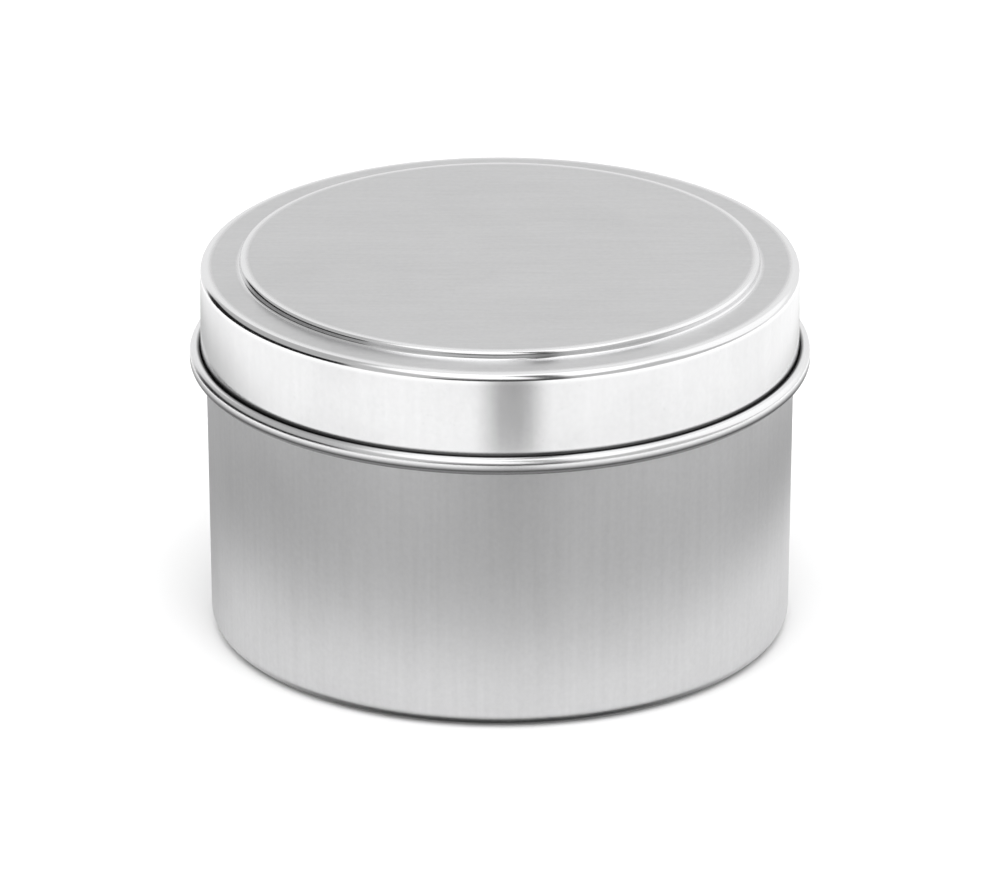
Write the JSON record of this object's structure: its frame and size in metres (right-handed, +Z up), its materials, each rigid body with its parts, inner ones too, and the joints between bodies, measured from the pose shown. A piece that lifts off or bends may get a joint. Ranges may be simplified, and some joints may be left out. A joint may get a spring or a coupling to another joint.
{
  "type": "candle tin",
  "caption": "Round seamless candle tin: a drawn cup with a soft step to a narrower neck and a rolled rim, closed by a beaded slip lid with a raised panel.",
  "frame": {"origin": "centre of the base, in the plane that the tin stands on", "axes": "+Z up along the tin's axis, towards the lid; X and Y are free, because the tin is round"},
  "size_m": [0.0812, 0.0812, 0.0508],
  "materials": {
    "body_tinplate": "satin tinplate with faint drawing marks up the wall",
    "lid_tinplate": "bright tinplate with a fine rolling grain"
  },
  "bodies": {
    "tin": {"tin_body": "body_tinplate"},
    "lid": {"lid": "lid_tinplate"}
  },
  "joints": [
    {"name": "lid_lift", "type": "slide", "parent": "tin", "child": "lid", "axis": [0, 0, 1], "range_m": [0, 0.06]}
  ]
}
